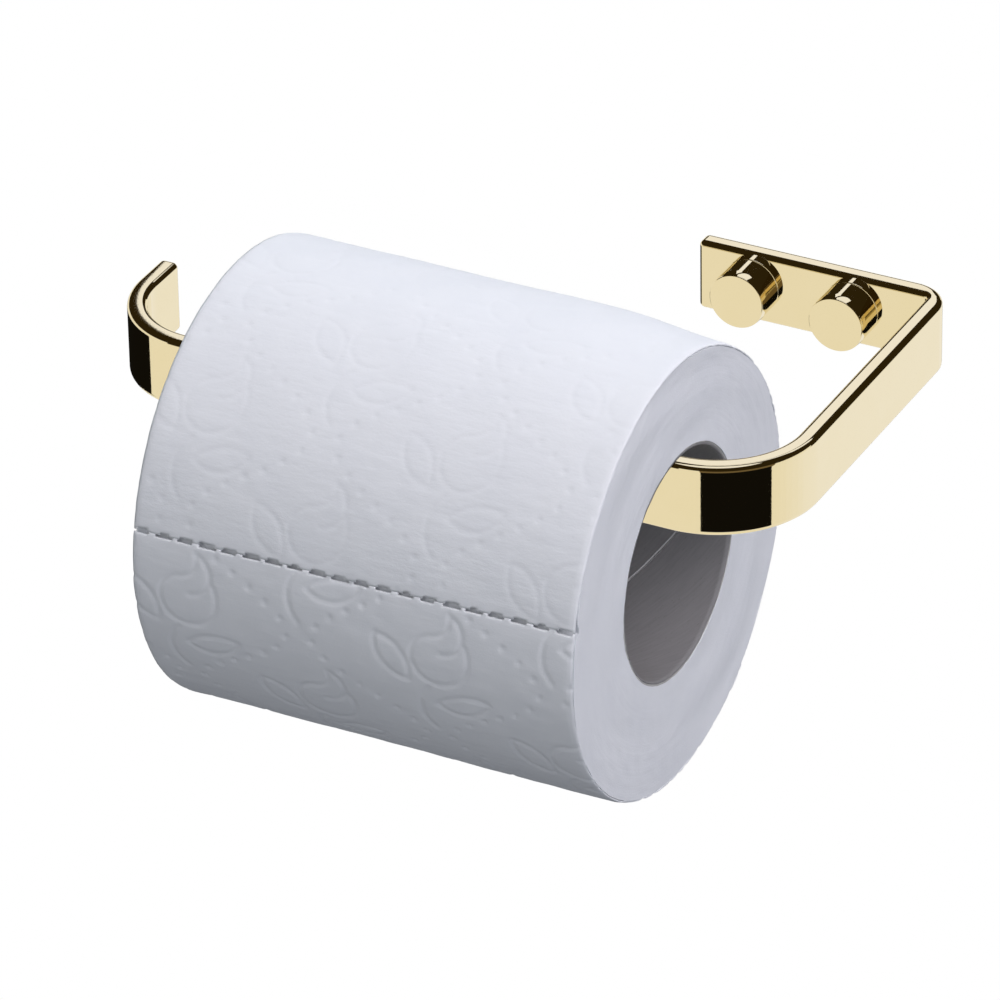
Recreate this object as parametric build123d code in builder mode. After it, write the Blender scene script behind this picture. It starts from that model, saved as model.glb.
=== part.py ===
"""Wall-mounted toilet paper holder: a bent flat bar on two capped wall fixings, with a roll on it.

Millimetres. The wall is the plane y = 0 and the holder stands out from it towards -Y.
+X runs along the wall to the right and +Z is up. The origin is on the wall, midway between
the centres of the two fixings.
"""

from build123d import *
import os

os.makedirs("parts", exist_ok=True)

# Bent bar
bar_height = 16.0
bar_thickness = 4.2
bar_edge_round = 1.2
bar_below_fixings = 1.6  # from the fixings' centres down to the bar's mid-height
overall_width = 155.0
overall_depth = 89.0
flange_length = 57.0
hook_reach = 30.0  # from the bar's front face back to the hook's free end
rear_bend_outer, rear_bend_inner = 8.0, 1.2
front_bend_outer = 22.5
hook_bend_outer = 20.5

# Wall fixings
fixing_spacing = 22.8
fixing_from_flange_end = 13.4
flange_hole_radius = 3.2
knob_radius = 6.25
collar_length = 2.4
neck_radius = 4.8
neck_length = 3.8
spigot_radius = 3.18  # pressed into the flange's hole, its end level with the wall
screw_bore_radius = 2.2
countersink_radius = 4.0
seal_groove_radius = 4.1
seal_groove_width = 0.9
seal_section_radius = 0.38
seal_from_collar = 1.9

# Caps
seam = 0.15  # the fine gap between a collar and its cap
cap_length = 7.25
cap_bore_radius = 4.9
cap_bore_depth = 4.1
face_chamfer = 0.3
rim_chamfer = 0.15

# Paper roll
roll_radius = 49.0
roll_width = 99.0
roll_centre_x = -38.5
core_bore_radius = 24.6
core_ply = 0.4
core_on_bar = 0.2  # the play between the bar's top and the core that hangs on it
sheet_thickness = 0.3
sheet_end_angle = 205.0  # of the loose end, turned about +X from the roll's front
sheet_end_gap = 1.5  # degrees

# Worked-out places
fixing_x = {"left": -fixing_spacing / 2, "right": fixing_spacing / 2}
flange_end_x = -fixing_spacing / 2 - fixing_from_flange_end
arm_x = flange_end_x + flange_length
hook_x = arm_x - overall_width
hook_end_y = hook_reach - overall_depth
bar_bottom = -bar_below_fixings - bar_height / 2
bar_top = bar_bottom + bar_height
collar_y = -bar_thickness
neck_y = collar_y - collar_length
neck_end_y = neck_y - neck_length
cap_y = neck_y - seam
roll_y = bar_thickness / 2 - overall_depth
roll_z = bar_top + core_on_bar - core_bore_radius
roll_end_x = roll_centre_x + roll_width / 2


def save(part, node):
    """Label one finished piece and write its STEP file."""
    part.label = node
    export_step(part, f"parts/{node}.step")


def fixing_plane(x, y):
    """A plane across a fixing's axis: its own Z looks out of the wall, along -Y."""
    return Plane(origin=(x, y, 0), x_dir=(1, 0, 0), z_dir=(0, -1, 0))


def turned_profile(x):
    """The half-plane that a fixing's pieces are turned from: across is the radius, up is +Y."""
    return Plane(origin=(x, 0, 0), x_dir=(1, 0, 0), z_dir=(0, 0, 1))


def fixing_axis(x):
    """The centre line of one fixing."""
    return Axis((x, 0, 0), (0, 1, 0))


# The plan of the strip is its outer line and its inner line, joined at the two free ends.
with BuildPart() as formed_bar:
    with BuildSketch(Plane.XY.offset(bar_bottom)):
        with BuildLine():
            outer = FilletPolyline(
                (flange_end_x, 0),
                (arm_x, 0),
                (arm_x, -overall_depth),
                (hook_x, -overall_depth),
                (hook_x, hook_end_y),
                radius=[rear_bend_outer, front_bend_outer, hook_bend_outer],
            )
            inner = FilletPolyline(
                (flange_end_x, -bar_thickness),
                (arm_x - bar_thickness, -bar_thickness),
                (arm_x - bar_thickness, bar_thickness - overall_depth),
                (hook_x + bar_thickness, bar_thickness - overall_depth),
                (hook_x + bar_thickness, hook_end_y),
                radius=[
                    rear_bend_inner,
                    front_bend_outer - bar_thickness,
                    hook_bend_outer - bar_thickness,
                ],
            )
            Line(outer @ 0, inner @ 0)
            Line(outer @ 1, inner @ 1)
        make_face()
    extrude(amount=bar_height)
    top_and_bottom = formed_bar.faces().filter_by(Axis.Z).edges()
    flange_end = formed_bar.faces().filter_by(Axis.X).sort_by(Axis((0, -1, 0), (0, 1, 0)))[-1]
    hook_end = [
        face
        for face in formed_bar.faces().filter_by(Axis.Y)
        if abs(face.center().Y - hook_end_y) < bar_edge_round
    ]
    end_corners = flange_end.edges().filter_by(Axis.Z) + hook_end[0].edges().filter_by(Axis.Z)
    fillet(top_and_bottom + end_corners, radius=bar_edge_round)
    with Locations(*[fixing_plane(x, collar_y).location for x in fixing_x.values()]):
        Hole(radius=flange_hole_radius, depth=bar_thickness)
save(formed_bar.part, "formed_bar")


for side, x in fixing_x.items():
    # The collar is turned: a spigot in the flange's hole, a disc on the flange and a neck for
    # the cap, with a countersunk bore for the wall screw.
    with BuildPart() as collar:
        with BuildSketch(turned_profile(x)):
            with BuildLine():
                Polyline(
                    (screw_bore_radius, 0),
                    (spigot_radius, 0),
                    (spigot_radius, collar_y),
                    (knob_radius, collar_y),
                    (knob_radius, neck_y + rim_chamfer),
                    (knob_radius - rim_chamfer, neck_y),
                    (neck_radius, neck_y),
                    (neck_radius, neck_end_y),
                    (countersink_radius, neck_end_y),
                    (screw_bore_radius, neck_end_y + countersink_radius - screw_bore_radius),
                    close=True,
                )
            make_face()
            with Locations((neck_radius, neck_y - seal_from_collar)):
                Rectangle(
                    2 * (neck_radius - seal_groove_radius), seal_groove_width, mode=Mode.SUBTRACT
                )
        revolve(axis=fixing_axis(x))
    save(collar.part, f"collar_{side}")

    # The seal is drawn as the cap squeezes it, so its outside just clears the cap's bore.
    with BuildPart() as seal:
        with BuildSketch(turned_profile(x)):
            with Locations((seal_groove_radius + seal_section_radius, neck_y - seal_from_collar)):
                Circle(seal_section_radius)
        revolve(axis=fixing_axis(x))
    save(seal.part, f"o_ring_{side}")

    # The cap is a short cup that slides over the neck.
    with BuildPart() as cap:
        with BuildSketch(fixing_plane(x, cap_y)):
            Circle(knob_radius)
        extrude(amount=cap_length)
        with BuildSketch(fixing_plane(x, cap_y)):
            Circle(cap_bore_radius)
        extrude(amount=cap_bore_depth, mode=Mode.SUBTRACT)
        outer_edges = cap.edges().filter_by(GeomType.CIRCLE).sort_by(Axis.Y)
        chamfer(outer_edges[0], length=face_chamfer)
        rim = cap.edges().filter_by(GeomType.CIRCLE).filter_by(
            lambda edge: edge.radius > neck_radius + 1 and edge.center().Y > cap_y - rim_chamfer
        )
        chamfer(rim, length=rim_chamfer)
    save(cap.part, f"cap_{side}")


# The roll's pieces are all rings about one line, drawn on the plane of the roll's right face.
roll_face = Plane(origin=(roll_end_x, roll_y, roll_z), x_dir=(0, 1, 0), z_dir=(1, 0, 0))
core_radius = core_bore_radius + 2 * core_ply
rings = {
    "core_inner_ply": (core_bore_radius, core_bore_radius + core_ply),
    "core_outer_ply": (core_bore_radius + core_ply, core_radius),
    "wound_paper": (core_radius, roll_radius - sheet_thickness),
}
for node, (inside, outside) in rings.items():
    with BuildPart() as ring:
        with BuildSketch(roll_face):
            Circle(outside)
            Circle(inside, mode=Mode.SUBTRACT)
        extrude(amount=-roll_width)
    save(ring.part, node)

# The last turn of paper stops just short of a full circle, where its loose end lies.
with BuildPart() as outer_sheet:
    with BuildSketch(roll_face):
        with BuildLine():
            start = 180 - sheet_end_angle + sheet_end_gap
            sweep_angle = 360 - sheet_end_gap
            outer_arc = CenterArc((0, 0), roll_radius, start, sweep_angle)
            inner_arc = CenterArc((0, 0), roll_radius - sheet_thickness, start, sweep_angle)
            Line(outer_arc @ 0, inner_arc @ 0)
            Line(outer_arc @ 1, inner_arc @ 1)
        make_face()
    extrude(amount=-roll_width)
save(outer_sheet.part, "outer_sheet")
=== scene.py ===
import math

import bmesh
import bpy
from mathutils import Matrix, Vector, geometry, noise


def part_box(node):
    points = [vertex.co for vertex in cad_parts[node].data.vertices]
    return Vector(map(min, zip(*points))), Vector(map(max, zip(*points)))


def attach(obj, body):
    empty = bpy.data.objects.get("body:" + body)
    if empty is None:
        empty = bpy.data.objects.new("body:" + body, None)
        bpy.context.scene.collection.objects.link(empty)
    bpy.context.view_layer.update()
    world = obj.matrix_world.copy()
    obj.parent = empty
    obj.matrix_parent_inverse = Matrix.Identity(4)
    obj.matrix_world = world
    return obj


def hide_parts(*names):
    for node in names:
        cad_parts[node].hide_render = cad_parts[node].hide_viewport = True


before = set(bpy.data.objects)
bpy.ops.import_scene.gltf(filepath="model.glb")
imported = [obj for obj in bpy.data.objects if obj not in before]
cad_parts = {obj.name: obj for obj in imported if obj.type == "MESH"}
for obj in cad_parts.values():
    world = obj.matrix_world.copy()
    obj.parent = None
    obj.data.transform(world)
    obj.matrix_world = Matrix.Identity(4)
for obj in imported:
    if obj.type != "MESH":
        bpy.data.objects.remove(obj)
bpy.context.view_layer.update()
mm = 0.001

# ---------------------------------------------------------------- sizes, in metres
bar_low, bar_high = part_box("formed_bar")
bar_thickness = 4.2 * mm
bar_rounding = 1.2 * mm
flange_length = 57.0 * mm
rear_bend_outer, rear_bend_inner = 8.0 * mm, 1.2 * mm
front_bend_outer = 22.5 * mm
hook_bend_outer = 20.5 * mm
hook_reach = 30.0 * mm
flange_hole_radius = 3.2 * mm
arc_steps, hole_sides = 8, 64

roll_low, roll_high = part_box("outer_sheet")
roll_middle = (roll_low + roll_high) / 2
roll_radius = (roll_high.z - roll_low.z) / 2
roll_width = roll_high.x - roll_low.x
paper_radius = roll_radius - 0.5 * mm
paper_drop = 1.4 * mm  # the paper hangs a little low on its core
paper_middle = roll_middle - Vector((0, 0, paper_drop))
core_low, core_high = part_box("core_inner_ply")
ply = 0.4 * mm
layer_pitch = 0.55 * mm  # from one visible turn of the wound paper to the next
bore_radius = (core_high.z - core_low.z) / 2 - ply

# ---------------------------------------------------------------- camera
view_azimuth = math.radians(27.565)
view_elevation = math.radians(30.787)
view_roll = math.radians(-0.978)
view_target = Vector((-35.71, -75.0, -21.5)) * mm
view_distance = 1.629
lens_mm = 286.25


def make_camera():
    """A long lens, from the right and above, turned a touch about its own axis."""
    back = Vector(
        (
            math.sin(view_azimuth) * math.cos(view_elevation),
            -math.cos(view_azimuth) * math.cos(view_elevation),
            math.sin(view_elevation),
        )
    )
    level = Vector((math.cos(view_azimuth), math.sin(view_azimuth), 0))
    upright = back.cross(level)
    right = level * math.cos(view_roll) + upright * math.sin(view_roll)
    up = upright * math.cos(view_roll) - level * math.sin(view_roll)
    data = bpy.data.cameras.new("camera")
    data.lens = lens_mm
    data.sensor_width = 36
    data.clip_start, data.clip_end = 0.05, 50
    camera = bpy.data.objects.new("camera", data)
    camera.matrix_world = Matrix((right, up, back)).transposed().to_4x4()
    camera.location = view_target + back * view_distance
    bpy.context.scene.collection.objects.link(camera)
    bpy.context.scene.camera = camera


# ---------------------------------------------------------------- studio
def direction(azimuth, elevation):
    """A unit vector: azimuth 0 is towards the front, -Y, and 90 is towards +X. Degrees."""
    a, e = math.radians(azimuth), math.radians(elevation)
    return Vector((math.sin(a) * math.cos(e), -math.cos(a) * math.cos(e), math.sin(e)))


def stage_mesh(name, verts, faces, material):
    """A piece of the studio, which isn't part of the object."""
    mesh = bpy.data.meshes.new(name)
    mesh.from_pydata(verts, [], faces)
    mesh.materials.append(material)
    thing = bpy.data.objects.new(name, mesh)
    bpy.context.scene.collection.objects.link(thing)
    return thing


def glow(name, colour, strength):
    """A plain emitter for the tent and its flags."""
    made = bpy.data.materials.new(name)
    made.use_nodes = True
    tree = made.node_tree
    tree.nodes.clear()
    out = tree.nodes.new("ShaderNodeOutputMaterial")
    emit = tree.nodes.new("ShaderNodeEmission")
    emit.inputs["Color"].default_value = (*colour, 1)
    emit.inputs["Strength"].default_value = strength
    tree.links.new(emit.outputs[0], out.inputs["Surface"])
    return made


def only_reflected(thing):
    """The tent and flags show in polished metal and nowhere else."""
    thing.visible_camera = False
    thing.visible_diffuse = False
    thing.visible_transmission = False
    thing.visible_volume_scatter = False
    thing.visible_shadow = False


def flag(name, azimuths, elevations, radius, material, steps=12):
    """A curved panel round the object, from one azimuth and elevation to another."""
    verts, faces = [], []
    for i in range(steps + 1):
        azimuth = azimuths[0] + (azimuths[1] - azimuths[0]) * i / steps
        for j in range(steps + 1):
            elevation = elevations[0] + (elevations[1] - elevations[0]) * j / steps
            verts.append(direction(azimuth, elevation) * radius)
    for i in range(steps):
        for j in range(steps):
            a = i * (steps + 1) + j
            faces.append((a, a + 1, a + steps + 2, a + steps + 1))
    only_reflected(stage_mesh(name, verts, faces, material))


def area_light(name, towards, distance, size, power, colour):
    """A square lamp that points at the origin and doesn't show in the metal."""
    data = bpy.data.lights.new(name, "AREA")
    data.shape = "SQUARE"
    data.size = size
    data.energy = power
    data.color = colour
    light = bpy.data.objects.new(name, data)
    light.location = towards * distance
    light.rotation_euler = towards.to_track_quat("Z", "Y").to_euler()
    light.visible_glossy = False
    bpy.context.scene.collection.objects.link(light)


def make_room():
    """Dim even light from all round, over a white floor that the camera alone sees."""
    scene = bpy.context.scene
    scene.view_settings.view_transform = "Standard"
    world = bpy.data.worlds.new("studio")
    world.use_nodes = True
    scene.world = world
    background = world.node_tree.nodes["Background"]
    background.inputs["Color"].default_value = (0.83, 0.89, 1.0, 1)
    background.inputs["Strength"].default_value = 0.152

    half, height = 12.0, -0.6
    corners = [(-half, -half), (half, -half), (half, half), (-half, half)]
    floor = stage_mesh(
        "floor",
        [(x, y, height) for x, y in corners],
        [(0, 1, 2, 3)],
        glow("floor_paper", (1, 1, 1), 1.0),
    )
    floor.visible_glossy = False
    floor.visible_diffuse = False


def make_tent():
    """What the gold mirrors: dark above, pale below, with cards and flags in front of both."""
    tent, card, blend, near = 4.0, 3.8, 3.7, 3.6  # how far off each layer stands
    horizon = 4
    sky = glow("tent_sky", (1.0, 1.0, 1.08), 1.0)
    ground = glow("tent_ground", (0.93, 0.89, 0.79), 1.0)
    black = glow("tent_black", (1.0, 0.85, 0.6), 0.006)
    brown = glow("tent_brown", (1.0, 0.64, 0.18), 0.026)
    bronze = glow("tent_bronze", (1.0, 0.72, 0.34), 0.16)
    flag("tent_upper", (-180, 180), (horizon, 90), tent, brown, 32)
    flag("tent_lower", (-180, 180), (-90, horizon), tent, ground, 32)
    flag("card_back", (-158, -147), (25, 37), card, sky)
    flag("card_high", (-196, -151), (41, 54), card, sky)
    flag("card_zenith", (-180, 180), (70, 90), card, sky, 24)
    flag("flag_low_right", (8, 82), (-38, -24), near, black)
    flag("flag_low_left", (-165, -73), (-38, -24), near, black)
    flag("flag_bronze", (8, 82), (-24, 5), near, bronze)
    flag("flag_back_right", (128, 176), (-12, 5), near, brown)
    flag("flag_front_left", (-40, -12), (-2, 5), near, brown)

    # Narrow bands, each a step darker or paler than the last, make two soft passages.
    bands, dusk_height, pale_width = 6, 2, 8
    for band in range(bands):
        share = (band + 0.5) / bands
        shade = tuple(c * (1 - share) ** 2.2 for c in (0.75, 0.66, 0.42))
        low = -14 + dusk_height * band
        dusk = glow(f"dusk_{band}", shade, 1.0)
        flag(f"dusk_{band}", (-40, -12), (low, low + dusk_height), blend, dusk, 4)
        shade = (0.93 + 0.04 * share, 0.89 + 0.075 * share, 0.79 + 0.19 * share)
        left = 84 + pale_width * band
        right = left + pale_width if band < bands - 1 else 176
        flag(f"pale_{band}", (left, right), (-60, -12), blend, glow(f"pale_{band}", shade, 1.0), 4)


def make_lamps():
    """Soft lamps that light the paper."""
    area_light("front_fill", direction(-10, 25), 1.6, 1.0, 4.2, (1.0, 1.0, 0.96))
    area_light("side_softbox", direction(65, 30), 1.2, 2.0, 9.6, (0.90, 0.93, 1.0))
    area_light("high_softbox", direction(90, 60), 1.4, 1.2, 11.0, (1.0, 0.93, 0.95))
    area_light("rear_softbox", direction(190, 30), 1.6, 1.0, 9.0, (0.87, 0.94, 1.0))
    area_light("rear_fill", direction(-120, 45), 1.4, 1.2, 3.8, (0.85, 0.97, 1.0))


# ---------------------------------------------------------------- node trees
def feed(tree, socket, value):
    """Link a socket to another node's output, or set its number."""
    if isinstance(value, bpy.types.NodeSocket):
        tree.links.new(value, socket)
    else:
        socket.default_value = value


def node(tree, kind, values=None, **settings):
    """Add a node; its values are numbers, colours or other nodes' outputs."""
    made = tree.nodes.new(kind)
    for key, setting in settings.items():
        setattr(made, key, setting)
    for key, value in (values or {}).items():
        feed(tree, made.inputs[key], value)
    return made


def maths(tree, operation, *values):
    """One sum, from numbers or other nodes' outputs."""
    made = node(tree, "ShaderNodeMath", operation=operation)
    for socket, value in zip(made.inputs, values):
        feed(tree, socket, value)
    return made.outputs[0]


def bell(tree, distance, width):
    """1 on the line, falling smoothly to nothing a width or two away."""
    share = maths(tree, "DIVIDE", distance, width)
    square = maths(tree, "MULTIPLY", share, share)
    return maths(tree, "EXPONENT", maths(tree, "MULTIPLY", square, -1.0))


def eased(tree, value, low, high):
    """From 0 at low to 1 at high, with a soft start and end."""
    made = node(tree, "ShaderNodeMapRange", interpolation_type="SMOOTHSTEP")
    for key, number in (("Value", value), ("From Min", low), ("From Max", high)):
        feed(tree, made.inputs[key], number)
    return made.outputs["Result"]


def grain(tree, place, scale, detail, distortion=0.0):
    """Smooth noise from 0 to 1."""
    values = {"Vector": place, "Scale": scale, "Detail": detail, "Distortion": distortion}
    return node(tree, "ShaderNodeTexNoise", values).outputs["Fac"]


def rippled(tree, place, scale, depth):
    """Smooth noise of the given depth, as much above nothing as below it."""
    wave = maths(tree, "SUBTRACT", grain(tree, place, scale, 2.0), 0.5)
    return maths(tree, "MULTIPLY", wave, depth)


def drawn_out(tree, place, along, turn=0.0):
    """The place with X measured at another scale, which draws a pattern out along X."""
    values = {"Vector": place, "Rotation": (0, 0, math.radians(turn)), "Scale": (along, 1.0, 1.0)}
    return node(tree, "ShaderNodeMapping", values).outputs["Vector"]


def total(tree, values):
    """All the values added up."""
    answer = values[0]
    for value in values[1:]:
        answer = maths(tree, "ADD", answer, value)
    return answer


def geometry_tree(name, inputs):
    """An empty tree with named inputs; gives the tree, its inputs' sockets and its result."""
    tree = bpy.data.node_groups.new(name, "GeometryNodeTree")
    tree.interface.new_socket("Geometry", in_out="OUTPUT", socket_type="NodeSocketGeometry")
    for label, kind in inputs:
        tree.interface.new_socket(label, in_out="INPUT", socket_type=f"NodeSocket{kind}")
    entry = tree.nodes.new("NodeGroupInput")
    result = tree.nodes.new("NodeGroupOutput")
    return tree, entry.outputs, result.inputs["Geometry"]


def plain_mesh(thing):
    """Turn what a piece's modifiers make into its own plain mesh."""
    graph = bpy.context.evaluated_depsgraph_get()
    mesh = bpy.data.meshes.new_from_object(
        thing.evaluated_get(graph), preserve_all_data_layers=True, depsgraph=graph
    )
    thing.modifiers.clear()
    thing.data = mesh
    mesh.name = thing.name
    return thing


def grown(name, tree, values, wall=0.0):
    """A piece that a geometry tree makes, given a wall on its inner side if it needs one."""
    thing = bpy.data.objects.new(name, bpy.data.meshes.new(name))
    bpy.context.scene.collection.objects.link(thing)
    form = thing.modifiers.new("form", "NODES")
    form.node_group = tree
    for item in tree.interface.items_tree:
        if item.in_out == "INPUT":
            form[item.identifier] = values[item.name]
    if wall:
        thickness = thing.modifiers.new("wall", "SOLIDIFY")
        thickness.thickness = wall
        thickness.offset = -1
    return plain_mesh(thing)


def placed(piece, body, slot, *replaced):
    """Hang a finished piece on its body, in place of a plain solid if it stands for one."""
    if replaced:
        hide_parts(*replaced)
    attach(piece, body)
    piece.visible_glossy = "formed_bar" in replaced
    piece.visible_shadow = piece.visible_diffuse = body == "roll"


# ---------------------------------------------------------------- materials
def shader_tree(name):
    """A new material, its node tree and its shader."""
    made = bpy.data.materials.new(name)
    made.use_nodes = True
    return made, made.node_tree, made.node_tree.nodes["Principled BSDF"]


def object_place(tree):
    return node(tree, "ShaderNodeTexCoord").outputs["Object"]


def sheet_place(tree):
    return node(tree, "ShaderNodeUVMap", uv_map="flat_place").outputs["UV"]


def mixed(tree, share, first, second):
    """A colour between two, each a plain colour or another node's output."""
    made = node(tree, "ShaderNodeMix", data_type="RGBA")
    feed(tree, made.inputs["Factor"], share)
    for socket, colour in ((made.inputs[6], first), (made.inputs[7], second)):
        feed(tree, socket, colour if isinstance(colour, bpy.types.NodeSocket) else (*colour, 1))
    return made.outputs[2]


def raised(tree, height, distance, strength=1.0, under=None):
    """A bumpy normal, laid over another if there is one under it."""
    values = {"Height": height, "Distance": distance, "Strength": strength}
    made = node(tree, "ShaderNodeBump", values)
    if under:
        tree.links.new(under, made.inputs["Normal"])
    return made.outputs["Normal"]


def polished_gold():
    """Bright plated metal: nearly mirror smooth, with faint polishing haze and fine swirl marks."""
    made, tree, shader = shader_tree("polished_gold")
    place = object_place(tree)
    haze = grain(tree, place, 160.0, 4.0)
    rough = node(tree, "ShaderNodeMapRange", {"Value": haze, "To Min": 0.02, "To Max": 0.06})
    feed(tree, shader.inputs["Roughness"], rough.outputs["Result"])
    colour = mixed(tree, haze, (0.85, 0.75, 0.50), (0.87, 0.775, 0.54))
    feed(tree, shader.inputs["Base Color"], colour)
    swirl = grain(tree, place, 2600.0, 2.0)
    feed(tree, shader.inputs["Normal"], raised(tree, swirl, 0.0012 * mm))
    shader.inputs["Metallic"].default_value = 1.0
    return made


def seal_rubber():
    """Soft black rubber with the faint bloom of a moulded ring."""
    made, tree, shader = shader_tree("seal_rubber")
    bloom = grain(tree, object_place(tree), 900.0, 5.0)
    colour = mixed(tree, bloom, (0.012, 0.012, 0.013), (0.035, 0.034, 0.034))
    feed(tree, shader.inputs["Base Color"], colour)
    feed(tree, shader.inputs["Normal"], raised(tree, bloom, 0.02 * mm))
    shader.inputs["Roughness"].default_value = 0.42
    return made


def tissue(name, find_place):
    """Soft white paper: loose fibres and faint cloudiness."""
    made, tree, shader = shader_tree(name)
    place = find_place(tree)
    cloud = grain(tree, place, 90.0, 5.0)
    fibre = grain(tree, place, 1500.0, 6.0, 1.5)
    colour = mixed(tree, cloud, (0.83, 0.845, 0.89), (0.89, 0.90, 0.93))
    colour = mixed(tree, maths(tree, "MULTIPLY", fibre, 0.3), colour, (0.80, 0.815, 0.86))
    feed(tree, shader.inputs["Base Color"], colour)
    return made, tree, shader, place, fibre


def sheet_tissue():
    """The embossed sheets' paper: its crepe runs across the roll and follows the sheet."""
    made, tree, shader, place, fibre = tissue("sheet_tissue", sheet_place)
    crepe = grain(tree, drawn_out(tree, place, 0.8), 1700.0, 3.0)
    pucker = grain(tree, drawn_out(tree, place, 0.25, 32), 260.0, 3.0)
    normal = raised(tree, pucker, 0.6 * mm, 0.35)
    normal = raised(tree, crepe, 0.12 * mm, 0.22, normal)
    normal = raised(tree, fibre, 0.06 * mm, 0.5, normal)
    feed(tree, shader.inputs["Normal"], normal)
    shader.inputs["Roughness"].default_value = 0.95
    shader.inputs["Specular IOR Level"].default_value = 0.15
    shader.inputs["Sheen Weight"].default_value = 0.12
    shader.inputs["Sheen Roughness"].default_value = 0.6
    return made


def layered_tissue():
    """The roll's cut ends: the edges of hundreds of turns, pressed and a little uneven."""
    made, tree, shader, place, fibre = tissue("layered_tissue", object_place)
    apart = node(tree, "ShaderNodeSeparateXYZ", {"Vector": place}).outputs
    across = maths(tree, "SUBTRACT", apart["Y"], roll_middle.y)
    above = maths(tree, "SUBTRACT", apart["Z"], roll_middle.z)
    squares = [maths(tree, "MULTIPLY", side, side) for side in (across, above)]
    radius = maths(tree, "SQRT", total(tree, squares))
    turn = maths(tree, "DIVIDE", maths(tree, "ARCTAN2", above, across), 2 * math.pi)
    layer = maths(tree, "ADD", maths(tree, "DIVIDE", radius, layer_pitch), turn)
    along = node(tree, "ShaderNodeCombineXYZ", {"X": layer, "Y": 0.0, "Z": 0.0}).outputs["Vector"]
    normal = raised(tree, grain(tree, along, 0.12, 2.0), 0.5 * mm, 0.16)
    normal = raised(tree, grain(tree, along, 1.0, 3.0), 0.18 * mm, 0.24, normal)
    normal = raised(tree, fibre, 0.08 * mm, 0.6, normal)
    feed(tree, shader.inputs["Normal"], normal)
    shader.inputs["Roughness"].default_value = 0.97
    shader.inputs["Specular IOR Level"].default_value = 0.12
    return made


def core_board(name, pale, dark):
    """Grey recycled board with short fibres and specks, paler along its cut edges."""
    made, tree, shader = shader_tree(name)
    place = sheet_place(tree)
    fibre = grain(tree, drawn_out(tree, place, 0.3), 1100.0, 7.0)
    cloud = grain(tree, place, 120.0, 3.0)
    speck = grain(tree, place, 1900.0, 1.0)
    colour = mixed(tree, maths(tree, "POWER", fibre, 1.4), dark, pale)
    colour = mixed(tree, maths(tree, "MULTIPLY", cloud, 0.35), colour, dark)
    flecks = eased(tree, speck, 0.68, 0.74)
    colour = mixed(tree, maths(tree, "MULTIPLY", flecks, 0.3), colour, (0.10, 0.09, 0.08))
    edge = node(tree, "ShaderNodeSeparateXYZ", {"Vector": place}).outputs["Y"]
    ragged = maths(tree, "ADD", edge, rippled(tree, place, 900.0, 0.15 * mm))
    bare = maths(tree, "SUBTRACT", 1.0, eased(tree, ragged, 0.2 * mm, 0.4 * mm))
    colour = mixed(tree, maths(tree, "MULTIPLY", bare, 0.85), colour, (0.70, 0.69, 0.70))
    feed(tree, shader.inputs["Base Color"], colour)
    feed(tree, shader.inputs["Normal"], raised(tree, fibre, 0.06 * mm, 0.7))
    shader.inputs["Roughness"].default_value = 0.9
    return made


# ---------------------------------------------------------------- gold pieces
def smooth_metal(name, build, material):
    """A mesh whose flats stay flat in a reflection and whose rounded edges run smoothly."""
    mesh = bpy.data.meshes.new(name)
    build.to_mesh(mesh)
    build.free()
    mesh.materials.append(material)
    mesh.polygons.foreach_set("use_smooth", [True] * len(mesh.polygons))
    mesh.set_sharp_from_angle(angle=math.radians(40))
    thing = bpy.data.objects.new(name, mesh)
    bpy.context.scene.collection.objects.link(thing)
    weigh = thing.modifiers.new("flats", "WEIGHTED_NORMAL")
    weigh.weight = 90
    weigh.keep_sharp = True
    return plain_mesh(thing)


def closed(build):
    """Merge doubled points and turn every face outwards."""
    bmesh.ops.remove_doubles(build, verts=build.verts, dist=1e-7)
    bmesh.ops.dissolve_degenerate(build, edges=build.edges, dist=1e-8)
    bmesh.ops.recalc_face_normals(build, faces=build.faces)
    return build


def heading(angle):
    """A unit vector on a plan, turned this far from its first axis."""
    return Vector((math.cos(angle), math.sin(angle)))


def outward(angle):
    """The outer side of the strip lies to the left of the way it runs."""
    return Vector((-math.sin(angle), math.cos(angle)))


def bar_stations():
    """Plan of the strip: its outer point, its inner point and the way it runs, end to end."""
    flange_end = bar_high.x - flange_length
    hook_end = bar_low.y + hook_reach
    right, front, left = bar_high.x, bar_low.y, bar_low.x
    stations = []

    def bend(corner, start, outer, inner, steps):
        """A quarter turn to the right about a corner of the outer line."""
        turn_in = heading(start)
        after = start - math.pi / 2
        outer_centre = corner - turn_in * outer - outward(start) * outer
        inner_corner = corner - turn_in * bar_thickness - outward(start) * bar_thickness
        inner_centre = inner_corner - turn_in * inner - outward(start) * inner
        for i in range(steps + 1):
            angle = start + (after - start) * i / steps
            side = outward(angle)
            stations.append((outer_centre + side * outer, inner_centre + side * inner, angle))

    depth = Vector((0, bar_thickness))
    stations.append((Vector((flange_end, 0)), Vector((flange_end, 0)) - depth, 0.0))
    bend(Vector((right, 0)), 0.0, rear_bend_outer, rear_bend_inner, 16)
    inner_radius = front_bend_outer - bar_thickness
    bend(Vector((right, front)), -math.pi / 2, front_bend_outer, inner_radius, 40)
    inner_radius = hook_bend_outer - bar_thickness
    bend(Vector((left, front)), -math.pi, hook_bend_outer, inner_radius, 40)
    tip = Vector((left, hook_end))
    stations.append((tip, tip + Vector((bar_thickness, 0)), -1.5 * math.pi))
    return stations


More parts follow.
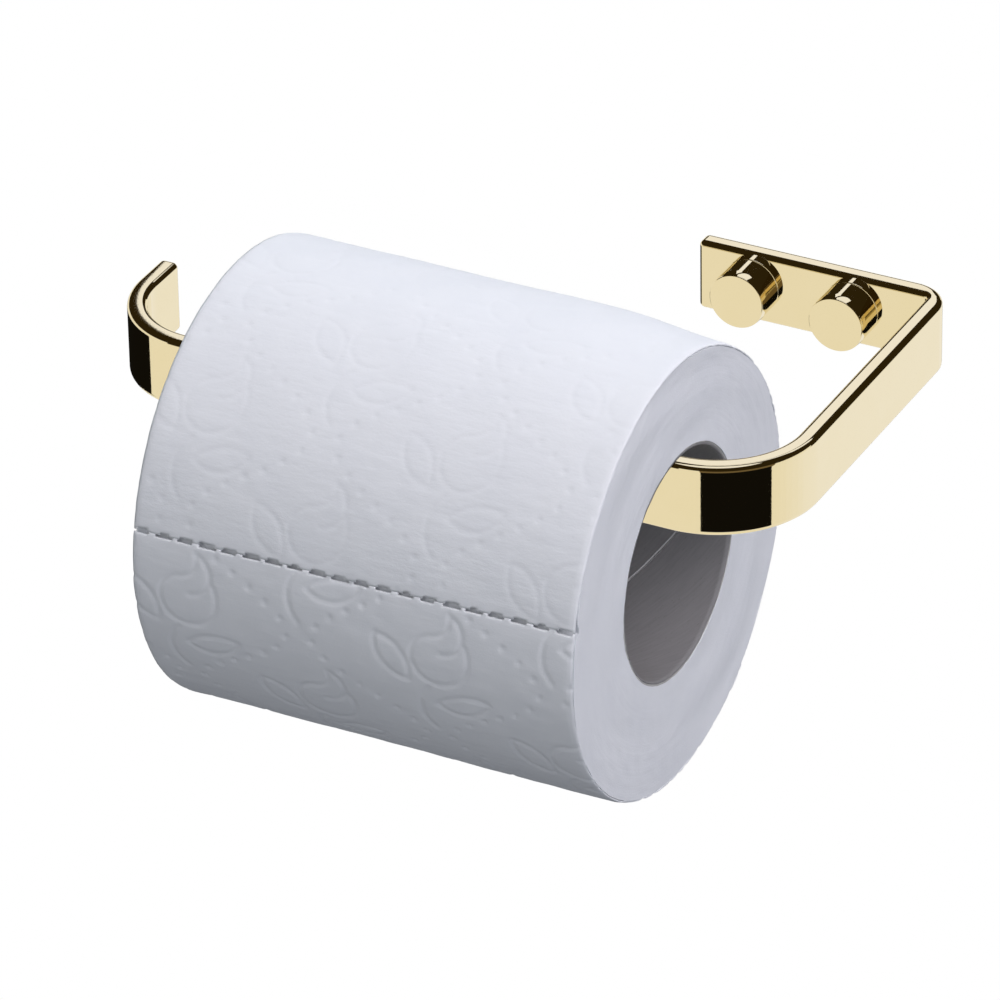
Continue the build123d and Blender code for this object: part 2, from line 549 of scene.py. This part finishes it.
def bar_section(build, outer, inner, angle, reach, along):
    """One rounded section: its four core corners, grown by reach and shifted along the bar."""
    side = outward(angle).to_3d()
    run = heading(angle).to_3d() * along
    up = Vector((0, 0, 1))
    top = up * (bar_high.z - bar_rounding)
    bottom = up * (bar_low.z + bar_rounding)
    outer = outer.to_3d() - side * bar_rounding + run
    inner = inner.to_3d() + side * bar_rounding + run
    corners = (
        (outer + top, side, up),
        (inner + top, up, -side),
        (inner + bottom, -side, -up),
        (outer + bottom, -up, side),
    )
    ring = []
    for corner, first, second in corners:
        for i in range(arc_steps + 1):
            turn = math.pi / 2 * i / arc_steps
            out = first * math.cos(turn) + second * math.sin(turn)
            ring.append(build.verts.new(corner + out * reach))
    return ring


def rounded_end(build, station, way):
    """The sections that round a free end: way is -1 at the strip's start and 1 at its end."""
    outer, inner, angle = station
    inset = heading(angle) * bar_rounding * way
    rings = []
    for i in range(arc_steps + 1):
        lean = math.pi / 2 * i / arc_steps
        reach, shift = bar_rounding * math.cos(lean), bar_rounding * math.sin(lean) * way
        rings.append(bar_section(build, outer - inset, inner - inset, angle, reach, shift))
    return rings[::way]


def hole_ring(hole):
    """The points round one of the flange's holes, on its flat."""
    turns = [2 * math.pi * i / hole_sides for i in range(hole_sides)]
    return [hole + heading(turn) * flange_hole_radius for turn in turns]


def pierced_face(build, low, high, y, holes):
    """A flat of the flange, filled round its holes."""
    flat = [Vector(p) for p in ((low.x, low.y), (high.x, low.y), (high.x, high.y), (low.x, high.y))]
    edges = [(i, (i + 1) % 4) for i in range(4)]
    for hole in holes:
        first = len(flat)
        flat += hole_ring(hole)
        edges += [(first + i, first + (i + 1) % hole_sides) for i in range(hole_sides)]
    points, _, triangles, *_ = geometry.delaunay_2d_cdt(flat, edges, [], 0, 1e-9)
    made = [build.verts.new((p.x, y, p.y)) for p in points]
    for triangle in triangles:
        middle = sum((points[i] for i in triangle), Vector((0, 0))) / 3
        if all((middle - hole).length > flange_hole_radius * 0.999 for hole in holes):
            build.faces.new([made[i] for i in triangle])


def formed_bar(material):
    """The strip, bent four ways, with every long edge and both ends rounded."""
    build = bmesh.new()
    stations = bar_stations()
    rings = rounded_end(build, stations[0], -1)
    flange_from = len(rings) - 1
    for outer, inner, angle in stations[1:-1]:
        rings.append(bar_section(build, outer, inner, angle, bar_rounding, 0))
    rings += rounded_end(build, stations[-1], 1)
    arc = arc_steps + 1
    flange_flats = (2 * arc - 1, 4 * arc - 1)
    for number, (ring, following) in enumerate(zip(rings, rings[1:])):
        for i in range(4 * arc):
            if number == flange_from and i in flange_flats:
                continue
            j = (i + 1) % (4 * arc)
            build.faces.new((ring[i], ring[j], following[j], following[i]))
    for ring in (rings[0], rings[-1]):
        build.faces.new([ring[i * arc] for i in range(4)])

    holes = []
    for name in ("collar_left", "collar_right"):
        low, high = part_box(name)
        holes.append(Vector(((low.x + high.x) / 2, (low.z + high.z) / 2)))
    start, end = rings[flange_from], rings[flange_from + 1]
    for corner, opposite, y in ((3 * arc, 0, 0.0), (2 * arc, arc + arc_steps, -bar_thickness)):
        low = Vector((start[corner].co.x, bar_low.z + bar_rounding))
        high = Vector((end[opposite].co.x, bar_high.z - bar_rounding))
        pierced_face(build, low, high, y, holes)
    for hole in holes:
        wall = []
        for point in hole_ring(hole):
            wall.append([build.verts.new((point.x, y, point.y)) for y in (0.0, -bar_thickness)])
        for i in range(hole_sides):
            a, b = wall[i], wall[(i + 1) % hole_sides]
            build.faces.new((a[0], b[0], b[1], a[1]))
    piece = smooth_metal("bent_bar", closed(build), material)
    placed(piece, "holder", "gold_bar", "formed_bar")


def softened(points, radii, steps=4):
    """A closed outline with each corner rounded by its own radius."""
    made = []
    count = len(points)
    for i, (point, radius) in enumerate(zip(points, radii)):
        here = Vector(point)
        before = (Vector(points[i - 1]) - here).normalized()
        after = (Vector(points[(i + 1) % count]) - here).normalized()
        if not radius:
            made.append(here)
            continue
        half = before.angle(after) / 2
        centre = here + (before + after).normalized() * radius / math.sin(half)
        start = here + before * radius / math.tan(half) - centre
        end = here + after * radius / math.tan(half) - centre
        for k in range(steps + 1):
            made.append(centre + start.slerp(end, k / steps) * radius)
    return made


def turned(name, centre, outline, material, sides=128):
    """A piece turned about a fixing's axis, from an outline of radius and distance along Y."""
    build = bmesh.new()
    rings = []
    for i in range(sides):
        angle = 2 * math.pi * i / sides
        across = Vector((math.cos(angle), 0, math.sin(angle)))
        rings.append(
            [build.verts.new(centre + across * p.x + Vector((0, p.y, 0))) for p in outline]
        )
    for i in range(sides):
        a, b = rings[i], rings[(i + 1) % sides]
        for j in range(len(outline)):
            k = (j + 1) % len(outline)
            if outline[j].x < 1e-9 and outline[k].x < 1e-9:
                continue
            build.faces.new((a[j], a[k], b[k], b[j]))
    return smooth_metal(name, closed(build), material)


def fixing(side, gold, rubber):
    """A fixed collar with a rubber ring in its groove, and the cap that pushes over both."""
    low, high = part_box(f"cap_{side}")
    centre = Vector(((low.x + high.x) / 2, 0, (low.z + high.z) / 2))
    knob = (high.x - low.x) / 2
    face, rim = low.y, high.y
    neck_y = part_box(f"collar_{side}")[0].y
    seam = 0.15 * mm
    collar_face = rim + seam
    bore, countersink, spigot, neck = 2.2 * mm, 4.0 * mm, 3.18 * mm, 4.8 * mm
    groove, groove_half, seal_y = 4.1 * mm, 0.45 * mm, collar_face - 1.9 * mm
    outline = softened(
        [
            (bore, 0),
            (spigot, 0),
            (spigot, -bar_thickness),
            (knob, -bar_thickness),
            (knob, collar_face),
            (neck, collar_face),
            (neck, seal_y + groove_half),
            (groove, seal_y + groove_half),
            (groove, seal_y - groove_half),
            (neck, seal_y - groove_half),
            (neck, neck_y),
            (countersink, neck_y),
            (bore, neck_y + countersink - bore),
        ],
        [x * mm for x in (0.15, 0.2, 0, 0.1, 0.18, 0, 0.08, 0.1, 0.1, 0.08, 0.2, 0.12, 0.1)],
    )
    piece = turned(f"turned_collar_{side}", centre, outline, gold)
    placed(piece, "holder", "gold_fixing", f"collar_{side}")

    cap_bore, cap_depth = 4.9 * mm, 4.1 * mm
    shoulder_in, shoulder_back = 0.15 * mm, 1.8 * mm
    outline = softened(
        [
            (0, face),
            (knob - shoulder_in, face),
            (knob, face + shoulder_back),
            (knob, rim),
            (cap_bore, rim),
            (cap_bore, rim - cap_depth),
            (0, rim - cap_depth),
        ],
        [x * mm for x in (0, 0.22, 14, 0.18, 0.2, 0.3, 0)],
        6,
    )
    piece = turned(f"push_cap_{side}", centre, outline, gold)
    placed(piece, f"cap_{side}", "gold_cap", f"cap_{side}")

    section, count = 0.38 * mm, 20
    middle = Vector((groove + section, seal_y))
    outline = [middle + heading(2 * math.pi * i / count) * section for i in range(count)]
    piece = turned(f"seal_ring_{side}", centre, outline, rubber, 96)
    placed(piece, "holder", "seal_rubber", f"o_ring_{side}")


# ---------------------------------------------------------------- paper roll
sheet_length = 118.4 * mm
sheet_wall = 0.3 * mm
tucked_share = 0.72  # how much of a sheet shows before it runs under the tail
slit_pitch = 5.0 * mm
slit_angle = math.radians(12.2)
skew = 0.0156  # of the last turn, which lies a touch aslant
groove_depth, groove_width = 1.5 * mm, 1.4 * mm  # in the wound body, under the slits
cell_width, cell_height = 57.0 * mm, 42.0 * mm
cell_middle = Vector((16.5, -5.0, 0)) * mm
stroke_width, dot_width = 0.48 * mm, 0.6 * mm
dot_spacing = 4.4 * mm
dot_wave = 0.2 * cell_width
rim_sag = 2.2 * mm
rim_sag_angle = math.radians(135)
rim_sag_spread = math.radians(42)
rim_sag_reach = 26 * mm

# Each stroke of the embossed sprig runs from one point through a second to a third, in mm.
sprig = (
    ((-11, 5.5), (-5.2, 2.2), (-4, -4.5)),
    ((-11, 5.5), (-9.8, -1.2), (-4, -4.5)),
    ((1.0, 7.5), (-3.0, 1.5), (3.5, -4.0)),
    ((3.5, -4.0), (9.2, 0.2), (9.0, 6.8)),
    ((1.0, 7.5), (4.6, 9.0), (5.6, 13.0)),
    ((5.6, 13.0), (8.6, 8.2), (3.6, 3.6)),
    ((0.6, -5.4), (-2.2, -11.0), (0.2, -18.0)),
    ((2.0, -9.6), (8.2, -6.2), (14.0, -6.6)),
    ((2.0, -9.6), (8.6, -11.2), (14.0, -6.6)),
)


def spread_over(tree, points, shape):
    """The shape's curves, once at every point."""
    values = {"Points": points, "Instance": shape}
    spread = node(tree, "GeometryNodeInstanceOnPoints", values).outputs["Instances"]
    return node(tree, "GeometryNodeRealizeInstances", {"Geometry": spread}).outputs["Geometry"]


def sprig_lines(tree):
    """Every stroke of the sprig, repeated over the sheet in staggered rows."""
    strokes = node(tree, "GeometryNodeJoinGeometry")
    for start, middle, end in sprig:
        arc = node(tree, "GeometryNodeCurveArc", {"Resolution": 24}, mode="POINTS")
        for key, point in (("Start", start), ("Middle", middle), ("End", end)):
            arc.inputs[key].default_value = (point[0] * mm, point[1] * mm, 0)
        tree.links.new(arc.outputs["Curve"], strokes.inputs["Geometry"])
    rows = node(tree, "GeometryNodeJoinGeometry")
    for shift in (Vector((0, 0, 0)), Vector((cell_width / 2, cell_height / 2, 0))):
        grid = node(
            tree,
            "GeometryNodeMeshGrid",
            {"Size X": cell_width * 4, "Size Y": cell_height * 8, "Vertices X": 5, "Vertices Y": 9},
        )
        moved = node(
            tree,
            "GeometryNodeTransform",
            {"Geometry": grid.outputs["Mesh"], "Translation": cell_middle + shift},
        )
        tree.links.new(moved.outputs["Geometry"], rows.inputs["Geometry"])
    lines = spread_over(tree, rows.outputs["Geometry"], strokes.outputs["Geometry"])
    return node(tree, "GeometryNodeCurveToMesh", {"Curve": lines}).outputs["Mesh"]


def dotted_lines(tree):
    """Dots along waving lines, which stand between the sprigs and close each into a cell."""
    lines = node(tree, "GeometryNodeJoinGeometry")
    for number, sign in ((0, 1), (1, -1)):
        line = node(
            tree,
            "GeometryNodeCurvePrimitiveLine",
            {"Start": (0, -4 * cell_height, 0), "End": (0, 5 * cell_height, 0)},
        )
        values = {"Curve": line.outputs["Curve"], "Count": 400}
        fine = node(tree, "GeometryNodeResampleCurve", values)
        place = node(tree, "GeometryNodeInputPosition").outputs["Position"]
        height = node(tree, "ShaderNodeSeparateXYZ", {"Vector": place}).outputs["Y"]
        turn = maths(tree, "MULTIPLY", height, 2 * math.pi / cell_height)
        wave = maths(tree, "MULTIPLY", maths(tree, "COSINE", turn), -sign * dot_wave)
        across = maths(tree, "ADD", wave, (number - 0.5) * cell_width / 2)
        offset = node(tree, "ShaderNodeCombineXYZ", {"X": across}).outputs["Vector"]
        values = {"Geometry": fine.outputs["Curve"], "Offset": offset}
        waved = node(tree, "GeometryNodeSetPosition", values)
        tree.links.new(waved.outputs["Geometry"], lines.inputs["Geometry"])
    places = node(
        tree,
        "GeometryNodeMeshLine",
        {
            "Count": 5,
            "Start Location": cell_middle - Vector((2 * cell_width, 0, 0)),
            "Offset": (cell_width, 0, 0),
        },
    )
    repeated = spread_over(tree, places.outputs["Mesh"], lines.outputs["Geometry"])
    values = {"Curve": repeated, "Length": dot_spacing}
    dots = node(tree, "GeometryNodeCurveToPoints", values, mode="LENGTH")
    return dots.outputs["Points"]


def nearest(tree, target, kind, place):
    """How far a place is from the nearest of the target's edges or points."""
    values = {"Geometry": target, "Sample Position": place}
    found = node(tree, "GeometryNodeProximity", values, target_element=kind)
    return found.outputs["Distance"]


def kept_flat(tree, mesh, flat):
    """Keep each point's place on the flat sheet as a map for its material."""
    stored = node(
        tree,
        "GeometryNodeStoreNamedAttribute",
        {"Geometry": mesh, "Name": "flat_place", "Value": flat},
        data_type="FLOAT2",
        domain="CORNER",
    )
    return stored.outputs["Geometry"]


def round_roll(tree, x, angle, radius, middle):
    """A place on the roll; the angle starts at the front and goes up and over."""
    ahead = maths(tree, "MULTIPLY", maths(tree, "COSINE", angle), radius)
    above = maths(tree, "MULTIPLY", maths(tree, "SINE", angle), radius)
    place = {
        "X": maths(tree, "ADD", x, middle.x),
        "Y": maths(tree, "SUBTRACT", middle.y, ahead),
        "Z": maths(tree, "ADD", middle.z, above),
    }
    return node(tree, "ShaderNodeCombineXYZ", place).outputs["Vector"]


def finish_sheet(tree, sheet, place, material, result):
    """Move the flat sheet's points to their places, smooth it and give it its material."""
    moved = node(tree, "GeometryNodeSetPosition", {"Geometry": sheet, "Position": place})
    smooth = node(tree, "GeometryNodeSetShadeSmooth", {"Geometry": moved.outputs["Geometry"]})
    real = node(tree, "GeometryNodeRealizeInstances", {"Geometry": smooth.outputs["Geometry"]})
    values = {"Geometry": real.outputs["Geometry"], "Material": material}
    dressed = node(tree, "GeometryNodeSetMaterial", values)
    tree.links.new(dressed.outputs["Geometry"], result)


def rolled_sheet_tree():
    """A flat sheet, slit along its end, embossed, puckered, and then rolled round the core."""
    tree, size, result = geometry_tree(
        "rolled_sheet",
        [
            ("Width", "Float"),
            ("Length", "Float"),
            ("Columns", "Int"),
            ("Rows", "Int"),
            ("Start", "Float"),
            ("Radius", "Float"),
            ("Tuck", "Float"),
            ("Lift", "Float"),
            ("Slit Pitch", "Float"),
            ("Torn Start", "Bool"),
            ("Slit End", "Bool"),
            ("Emboss Depth", "Float"),
            ("Dot Depth", "Float"),
            ("Paper", "Material"),
        ],
    )
    grid = node(
        tree,
        "GeometryNodeMeshGrid",
        {
            "Size X": size["Width"],
            "Size Y": size["Length"],
            "Vertices X": size["Columns"],
            "Vertices Y": size["Rows"],
        },
    )
    place = node(tree, "GeometryNodeInputPosition").outputs["Position"]
    apart = node(tree, "ShaderNodeSeparateXYZ", {"Vector": place}).outputs
    half = maths(tree, "MULTIPLY", size["Length"], 0.5)
    from_start = maths(tree, "ADD", apart["Y"], half)
    from_end = maths(tree, "SUBTRACT", half, apart["Y"])
    along = maths(tree, "ADD", from_start, size["Start"])
    flat = node(tree, "ShaderNodeCombineXYZ", {"X": apart["X"], "Y": along}).outputs["Vector"]
    sheet = kept_flat(tree, grid.outputs["Mesh"], flat)

    # The slits: each is a missing run of faces in the last row, between the ties. A sheet that
    # starts at another's slits gapes at the middle of each.
    row = maths(tree, "DIVIDE", size["Length"], maths(tree, "SUBTRACT", size["Rows"], 1.0))
    from_left = maths(tree, "ADD", apart["X"], maths(tree, "MULTIPLY", size["Width"], 0.5))
    step = maths(tree, "DIVIDE", from_left, size["Slit Pitch"])
    within = maths(tree, "FRACT", step)
    widths = []
    for low, high, seed in ((0.62, 0.84, 5), (0.2, 0.7, 11)):
        values = {"Min": low, "Max": high, "ID": maths(tree, "FLOOR", step), "Seed": seed}
        width = node(tree, "FunctionNodeRandomValue", values, data_type="FLOAT")
        widths.append(width.outputs[1])
    slit = maths(tree, "LESS_THAN", within, widths[0])
    slit_middle = 0.36
    from_middle = maths(tree, "ABSOLUTE", maths(tree, "SUBTRACT", within, slit_middle))
    gaping = maths(tree, "LESS_THAN", from_middle, maths(tree, "MULTIPLY", widths[1], 0.5))
    cuts = []
    for from_edge, wanted, run in (
        (from_end, "Slit End", slit),
        (from_start, "Torn Start", gaping),
    ):
        edge_row = maths(tree, "LESS_THAN", from_edge, row)
        cuts.append(maths(tree, "MULTIPLY", maths(tree, "MULTIPLY", edge_row, size[wanted]), run))
    values = {"Geometry": sheet, "Selection": maths(tree, "MAXIMUM", *cuts)}
    cut = node(tree, "GeometryNodeDeleteGeometry", values, domain="FACE")

    # How far each point stands off the smooth roll.
    seam_width, seam_dip, rim_dip = 0.8 * mm, 0.1 * mm, 0.4 * mm
    rim_from, rim_to = roll_width / 2 - 2.0 * mm, roll_width / 2 + 0.6 * mm
    lifted_length = 14 * mm
    sprigs = bell(tree, nearest(tree, sprig_lines(tree), "EDGES", flat), stroke_width)
    dots = bell(tree, nearest(tree, dotted_lines(tree), "POINTS", flat), dot_width)
    seam = total(tree, [bell(tree, edge, seam_width) for edge in (from_start, from_end)])
    aside = maths(tree, "ABSOLUTE", apart["X"])
    rim = eased(tree, aside, rim_from, rim_to)
    angle = maths(tree, "DIVIDE", along, size["Radius"])
    sag = maths(
        tree,
        "MULTIPLY",
        bell(tree, maths(tree, "SUBTRACT", angle, rim_sag_angle), rim_sag_spread),
        eased(tree, apart["X"], roll_width / 2 - rim_sag_reach, roll_width / 2),
    )
    tuck = eased(tree, from_start, 0.0, maths(tree, "MULTIPLY", size["Length"], 0.8))
    lift = maths(tree, "SUBTRACT", 1.0, eased(tree, from_start, 0.0, lifted_length))
    radius = total(
        tree,
        [
            size["Radius"],
            maths(tree, "MULTIPLY", sprigs, maths(tree, "MULTIPLY", size["Emboss Depth"], -1.0)),
            maths(tree, "MULTIPLY", dots, maths(tree, "MULTIPLY", size["Dot Depth"], -1.0)),
            maths(tree, "MULTIPLY", seam, -seam_dip),
            maths(tree, "MULTIPLY", maths(tree, "MULTIPLY", rim, rim), -rim_dip),
            maths(tree, "MULTIPLY", sag, -rim_sag),
            maths(tree, "MULTIPLY", tuck, maths(tree, "MULTIPLY", size["Tuck"], -1.0)),
            maths(tree, "MULTIPLY", lift, size["Lift"]),
            rippled(tree, flat, 55.0, 0.5 * mm),
            rippled(tree, flat, 240.0, 0.14 * mm),
        ],
    )
    slant = maths(tree, "MULTIPLY", apart["X"], skew)
    waver = total(tree, [along, slant, rippled(tree, flat, 45.0, 1.0 * mm)])
    waver = maths(tree, "DIVIDE", waver, size["Radius"])
    x = maths(tree, "ADD", apart["X"], rippled(tree, flat, 160.0, 0.35 * mm))
    place = round_roll(tree, x, waver, radius, paper_middle)
    finish_sheet(tree, cut.outputs["Geometry"], place, size["Paper"], result)
    return tree


def outer_sheets(paper):
    """The last turn: the tail, the sheet over the top, and the one that goes under the tail."""
    tree = rolled_sheet_tree()
    slit_at = slit_angle * paper_radius
    values = {
        "Width": roll_width,
        "Radius": paper_radius,
        "Columns": 199,
        "Slit Pitch": slit_pitch,
        "Emboss Depth": 0.28 * mm,
        "Dot Depth": 0.34 * mm,
        "Paper": paper,
        "Tuck": 0.0,
        "Lift": 0.0,
        "Torn Start": False,
        "Slit End": True,
    }
    tail = dict(values, Length=sheet_length, Rows=227, Start=slit_at - sheet_length)
    tail.update({"Lift": 0.35 * mm, "Torn Start": True})
    over = dict(values, Length=sheet_length, Rows=227, Start=slit_at)
    over.update({"Emboss Depth": 0.11 * mm, "Dot Depth": 0.2 * mm, "Torn Start": True})
    under_length = tucked_share * sheet_length
    under = dict(values, Length=under_length, Rows=164, Start=slit_at + sheet_length)
    under.update({"Tuck": 0.6 * mm, "Slit End": False})
    piece = grown("tail_sheet", tree, tail, sheet_wall)
    placed(piece, "roll", "outer_tissue", "outer_sheet")
    for name, size in (("over_sheet", over), ("under_sheet", under)):
        placed(grown(name, tree, size, sheet_wall), "roll", "outer_tissue")


def sagged(x, angle):
    """How far the soft rim at the roll's right end has sunk, as on the sheets."""
    spread = math.exp(-(((angle - rim_sag_angle) / rim_sag_spread) ** 2))
    share = min(max((x + rim_sag_reach - roll_width / 2) / rim_sag_reach, 0), 1)
    return rim_sag * spread * share * share * (3 - 2 * share)


def wound_paper(paper):
    """The wound body under the last turn, with its layered ends."""
    build = bmesh.new()
    inner = bore_radius + 2 * ply
    outer = paper_radius - sheet_wall - 0.15 * mm
    sides, layers, lengths = 256, 34, 24
    rim, flat_end = 1.0 * mm, 0.1 * mm  # how near the end a point is dipped, or made uneven
    rim_dip = 0.2 * mm
    end = roll_width / 2
    profile = [(end, inner + (outer - inner) * i / layers) for i in range(layers + 1)]
    profile += [(end - roll_width * i / lengths, outer) for i in range(1, lengths)]
    profile += [(-end, outer - (outer - inner) * i / layers) for i in range(layers + 1)]
    profile += [(-end + roll_width * i / lengths, inner) for i in range(1, lengths)]
    rings = []
    for i in range(sides):
        angle = 2 * math.pi * i / sides
        toward = Vector((0, -math.cos(angle), math.sin(angle)))
        ring = []
        for x, radius in profile:
            share = (radius - inner) / (outer - inner)
            reach = radius - (sagged(x, angle) + rim_dip * (abs(x) > end - rim)) * share**3
            from_slit = (angle - slit_angle) * paper_radius - skew * x
            reach -= groove_depth * math.exp(-((from_slit / groove_width) ** 2)) * share**3
            spot = Vector((reach * 150, math.cos(angle) * 2.2, math.sin(angle) * 2.2))
            uneven = noise.noise(spot) * 0.28 * mm + noise.noise(spot * 5) * 0.09 * mm
            side = math.copysign(1, x) if abs(x) > end - flat_end else 0
            centre = roll_middle.lerp(paper_middle, share)
            along = Vector((x + side * uneven, 0, 0))
            ring.append(build.verts.new(centre + toward * reach + along))
        rings.append(ring)
    count = len(profile)
    for i in range(sides):
        a, b = rings[i], rings[(i + 1) % sides]
        for j in range(count):
            k = (j + 1) % count
            build.faces.new((a[j], a[k], b[k], b[j]))
    mesh = bpy.data.meshes.new("wound_body")
    closed(build).to_mesh(mesh)
    build.free()
    mesh.materials.append(paper)
    mesh.polygons.foreach_set("use_smooth", [True] * len(mesh.polygons))
    mesh.set_sharp_from_angle(angle=math.radians(50))
    piece = bpy.data.objects.new("wound_body", mesh)
    bpy.context.scene.collection.objects.link(piece)
    placed(piece, "roll", "wound_tissue", "wound_paper")


def spiral_ply_tree():
    """A strip of board wound once along a helix, so that its edges meet in a slanting seam."""
    tree, size, result = geometry_tree(
        "spiral_ply",
        [
            ("Length", "Float"),
            ("Radius", "Float"),
            ("Turn Length", "Float"),
            ("Start Angle", "Float"),
            ("Gap", "Float"),
            ("Board", "Material"),
        ],
    )
    girth = maths(tree, "MULTIPLY", size["Radius"], 2 * math.pi)
    strip_width = maths(tree, "SUBTRACT", girth, size["Gap"])
    grid = node(
        tree,
        "GeometryNodeMeshGrid",
        {"Size X": size["Length"], "Size Y": strip_width, "Vertices X": 100, "Vertices Y": 193},
    )
    place = node(tree, "GeometryNodeInputPosition").outputs["Position"]
    apart = node(tree, "ShaderNodeSeparateXYZ", {"Vector": place}).outputs
    half = maths(tree, "MULTIPLY", strip_width, 0.5)
    from_edge = maths(tree, "SUBTRACT", half, maths(tree, "ABSOLUTE", apart["Y"]))
    flat = node(tree, "ShaderNodeCombineXYZ", {"X": apart["X"], "Y": from_edge}).outputs["Vector"]
    turns = maths(tree, "DIVIDE", apart["X"], size["Turn Length"])
    slant = maths(tree, "MULTIPLY", turns, -2 * math.pi)
    around = maths(tree, "DIVIDE", apart["Y"], size["Radius"])
    angle = total(tree, [around, slant, size["Start Angle"]])
    radius = total(
        tree,
        [
            size["Radius"],
            maths(tree, "MULTIPLY", bell(tree, from_edge, 0.7 * mm), -0.15 * mm),
            rippled(tree, place, 90.0, 0.06 * mm),
        ],
    )
    x = maths(tree, "ADD", apart["X"], rippled(tree, place, 400.0, 0.3 * mm))
    place_on_roll = round_roll(tree, x, angle, radius, roll_middle)
    strip = kept_flat(tree, grid.outputs["Mesh"], flat)
    finish_sheet(tree, strip, place_on_roll, size["Board"], result)
    return tree


def core_tube():
    """Two plies of board, the outer one's seam half a turn away from the inner one's; the inner
    ply's board is a darker copy, painted shade for the inside of the bore.
    """
    tree = spiral_ply_tree()
    # The inner board's colours are the outer board's darkened: painted shade for the inside of the
    # bore, not a different board.
    inner = core_board("core_board_inner", (0.31, 0.30, 0.31), (0.22, 0.215, 0.22))
    outer = core_board("core_board_outer", (0.60, 0.59, 0.58), (0.44, 0.43, 0.42))
    plies = (("inner", 1, inner, 155.4), ("outer", 2, outer, -24.6))
    for name, number, board, start in plies:
        values = {
            "Length": roll_width - 0.3 * mm,
            "Radius": bore_radius + number * ply,
            "Turn Length": 99.5 * mm,
            "Start Angle": math.radians(start),
            "Gap": 0.12 * mm,
            "Board": board,
        }
        piece = grown(f"core_{name}_wrap", tree, values, ply)
        placed(piece, "roll", f"core_board_{name}", f"core_{name}_ply")


# ---------------------------------------------------------------- assembly
make_camera()
make_room()
make_tent()
make_lamps()
gold = polished_gold()
rubber = seal_rubber()
formed_bar(gold)
for side in ("left", "right"):
    fixing(side, gold, rubber)
outer_sheets(sheet_tissue())
wound_paper(layered_tissue())
core_tube()
